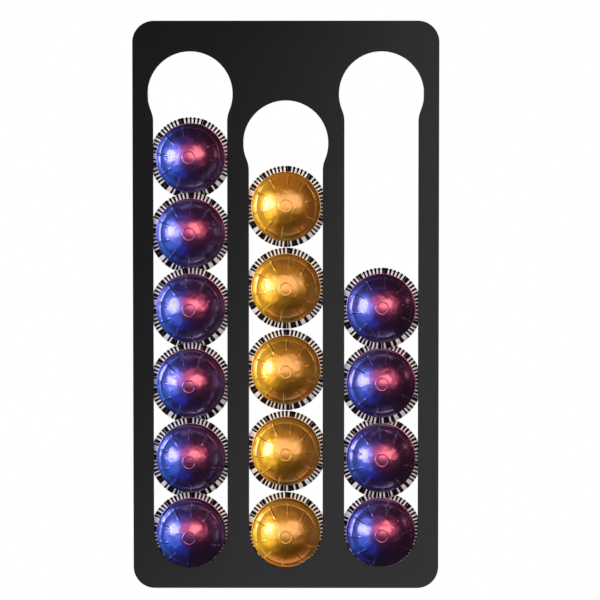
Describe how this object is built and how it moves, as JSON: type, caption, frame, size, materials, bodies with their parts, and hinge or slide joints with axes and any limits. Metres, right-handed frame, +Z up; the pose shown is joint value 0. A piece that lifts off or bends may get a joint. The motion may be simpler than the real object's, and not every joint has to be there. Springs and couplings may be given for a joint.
{
  "type": "wall-mounted capsule holder",
  "caption": "Wall-mounted capsule holder: a flat black panel with keyhole slots whose rails guide columns of flanged, domed drink capsules, put in and taken out at the round mouths.",
  "frame": {"origin": "midway between the two holes of the hangers that take the heads of the wall screws, on the back plane of the hangers and rails; the wall is 1 mm behind that plane, where the pads touch it", "axes": "+X to the holder's right as seen from the front, -Y out of the wall towards the viewer, +Z up"},
  "size_m": [0.229, 0.0312, 0.425],
  "materials": {
    "panel": "satin black powder coat",
    "rails": "fine-grained moulded plastic",
    "hangers": "brushed, zinc plated",
    "fasteners": "zinc plated",
    "pads": "matt",
    "blue_cup": "glossy tinted lacquer on drawn sheet",
    "gold_cup": "glossy tinted lacquer on drawn sheet",
    "foil_lid": "satin foil",
    "coffee": "ground coffee"
  },
  "bodies": {
    "rack": {"front_panel": "panel", "left_side_rail": "rails", "right_side_rail": "rails", "left_divider_rail": "rails", "right_divider_rail": "rails", "top_rail": "rails", "bottom_rail": "rails", "left_hanger_plate": "hangers", "right_hanger_plate": "hangers", "hanger_screws": "fasteners", "panel_studs": "fasteners", "rail_nuts": "fasteners", "wall_pads": "pads"},
    "left_capsule_1": {"left_capsule_1_cup": "blue_cup", "left_capsule_1_lid": "foil_lid", "left_capsule_1_coffee": "coffee"},
    "left_capsule_2": {"left_capsule_2_cup": "blue_cup", "left_capsule_2_lid": "foil_lid", "left_capsule_2_coffee": "coffee"},
    "left_capsule_3": {"left_capsule_3_cup": "blue_cup", "left_capsule_3_lid": "foil_lid", "left_capsule_3_coffee": "coffee"},
    "left_capsule_4": {"left_capsule_4_cup": "blue_cup", "left_capsule_4_lid": "foil_lid", "left_capsule_4_coffee": "coffee"},
    "left_capsule_5": {"left_capsule_5_cup": "blue_cup", "left_capsule_5_lid": "foil_lid", "left_capsule_5_coffee": "coffee"},
    "left_capsule_6": {"left_capsule_6_cup": "blue_cup", "left_capsule_6_lid": "foil_lid", "left_capsule_6_coffee": "coffee"},
    "middle_capsule_1": {"middle_capsule_1_cup": "gold_cup", "middle_capsule_1_lid": "foil_lid", "middle_capsule_1_coffee": "coffee"},
    "middle_capsule_2": {"middle_capsule_2_cup": "gold_cup", "middle_capsule_2_lid": "foil_lid", "middle_capsule_2_coffee": "coffee"},
    "middle_capsule_3": {"middle_capsule_3_cup": "gold_cup", "middle_capsule_3_lid": "foil_lid", "middle_capsule_3_coffee": "coffee"},
    "middle_capsule_4": {"middle_capsule_4_cup": "gold_cup", "middle_capsule_4_lid": "foil_lid", "middle_capsule_4_coffee": "coffee"},
    "middle_capsule_5": {"middle_capsule_5_cup": "gold_cup", "middle_capsule_5_lid": "foil_lid", "middle_capsule_5_coffee": "coffee"},
    "right_capsule_1": {"right_capsule_1_cup": "blue_cup", "right_capsule_1_lid": "foil_lid", "right_capsule_1_coffee": "coffee"},
    "right_capsule_2": {"right_capsule_2_cup": "blue_cup", "right_capsule_2_lid": "foil_lid", "right_capsule_2_coffee": "coffee"},
    "right_capsule_3": {"right_capsule_3_cup": "blue_cup", "right_capsule_3_lid": "foil_lid", "right_capsule_3_coffee": "coffee"},
    "right_capsule_4": {"right_capsule_4_cup": "blue_cup", "right_capsule_4_lid": "foil_lid", "right_capsule_4_coffee": "coffee"}
  },
  "joints": [
    {"name": "left_capsule_1_spin", "type": "hinge", "parent": "rack", "child": "left_capsule_1", "pos_m": [-0.0714, -0.00208, -0.3692], "axis": [0, -0.9995, -0.0302], "continuous": true},
    {"name": "left_capsule_2_spin", "type": "hinge", "parent": "rack", "child": "left_capsule_2", "pos_m": [-0.0714, -0.00208, -0.3129], "axis": [0, -0.9995, -0.0302], "continuous": true},
    {"name": "left_capsule_3_spin", "type": "hinge", "parent": "rack", "child": "left_capsule_3", "pos_m": [-0.0714, -0.00208, -0.2566], "axis": [0, -0.9995, -0.0302], "continuous": true},
    {"name": "left_capsule_4_spin", "type": "hinge", "parent": "rack", "child": "left_capsule_4", "pos_m": [-0.0714, -0.00208, -0.2003], "axis": [0, -0.9995, -0.0302], "continuous": true},
    {"name": "left_capsule_5_spin", "type": "hinge", "parent": "rack", "child": "left_capsule_5", "pos_m": [-0.0714, -0.00208, -0.144], "axis": [0, -0.9995, -0.0302], "continuous": true},
    {"name": "left_capsule_6_lift", "type": "slide", "parent": "rack", "child": "left_capsule_6", "axis": [0, 0, 1], "range_m": [0, 0.0474]},
    {"name": "middle_capsule_1_spin", "type": "hinge", "parent": "rack", "child": "middle_capsule_1", "pos_m": [0, -0.00208, -0.3692], "axis": [0, -1, 0], "continuous": true},
    {"name": "middle_capsule_2_spin", "type": "hinge", "parent": "rack", "child": "middle_capsule_2", "pos_m": [0, -0.00208, -0.3079], "axis": [0, -1, 0], "continuous": true},
    {"name": "middle_capsule_3_spin", "type": "hinge", "parent": "rack", "child": "middle_capsule_3", "pos_m": [0, -0.00208, -0.2466], "axis": [0, -1, 0], "continuous": true},
    {"name": "middle_capsule_4_spin", "type": "hinge", "parent": "rack", "child": "middle_capsule_4", "pos_m": [0, -0.00208, -0.1853], "axis": [0, -1, 0], "continuous": true},
    {"name": "middle_capsule_5_lift", "type": "slide", "parent": "rack", "child": "middle_capsule_5", "axis": [0, 0, 1], "range_m": [0, 0.0472]},
    {"name": "right_capsule_1_spin", "type": "hinge", "parent": "rack", "child": "right_capsule_1", "pos_m": [0.0714, -0.00208, -0.3692], "axis": [0, -0.9995, 0.0302], "continuous": true},
    {"name": "right_capsule_2_spin", "type": "hinge", "parent": "rack", "child": "right_capsule_2", "pos_m": [0.0714, -0.00208, -0.3129], "axis": [0, -0.9995, 0.0302], "continuous": true},
    {"name": "right_capsule_3_spin", "type": "hinge", "parent": "rack", "child": "right_capsule_3", "pos_m": [0.0714, -0.00208, -0.2566], "axis": [0, -0.9995, 0.0302], "continuous": true},
    {"name": "right_capsule_4_lift", "type": "slide", "parent": "rack", "child": "right_capsule_4", "axis": [0, 0, 1], "range_m": [0, 0.16]}
  ]
}
